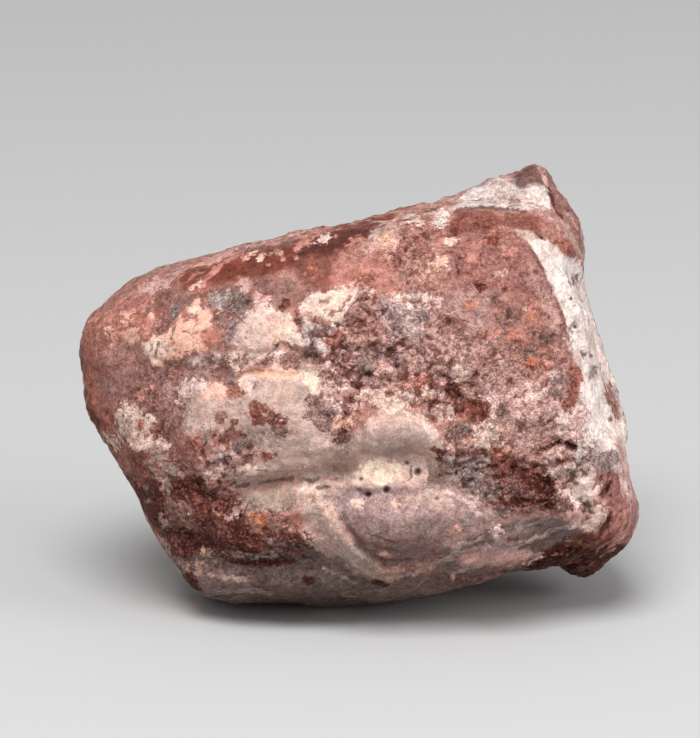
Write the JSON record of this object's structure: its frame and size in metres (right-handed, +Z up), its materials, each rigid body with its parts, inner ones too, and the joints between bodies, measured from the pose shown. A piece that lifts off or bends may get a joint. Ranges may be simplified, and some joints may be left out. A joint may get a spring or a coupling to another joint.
{
  "type": "coprolite",
  "caption": "Fossil dropping of red-brown and cream stone: a blunt, rounded log with one broken end, a raised crest and folds, resting on a small flat.",
  "frame": {"origin": "middle of the bounding box at the resting plane, under the stone", "axes": "+X along the stone from its rounded end to its broken end, +Y from the broad face to the back, +Z up"},
  "size_m": [0.0798, 0.0568, 0.059],
  "materials": {
    "stone": "dull, rough"
  },
  "bodies": {
    "root": {"coprolite": "stone"}
  },
  "joints": []
}
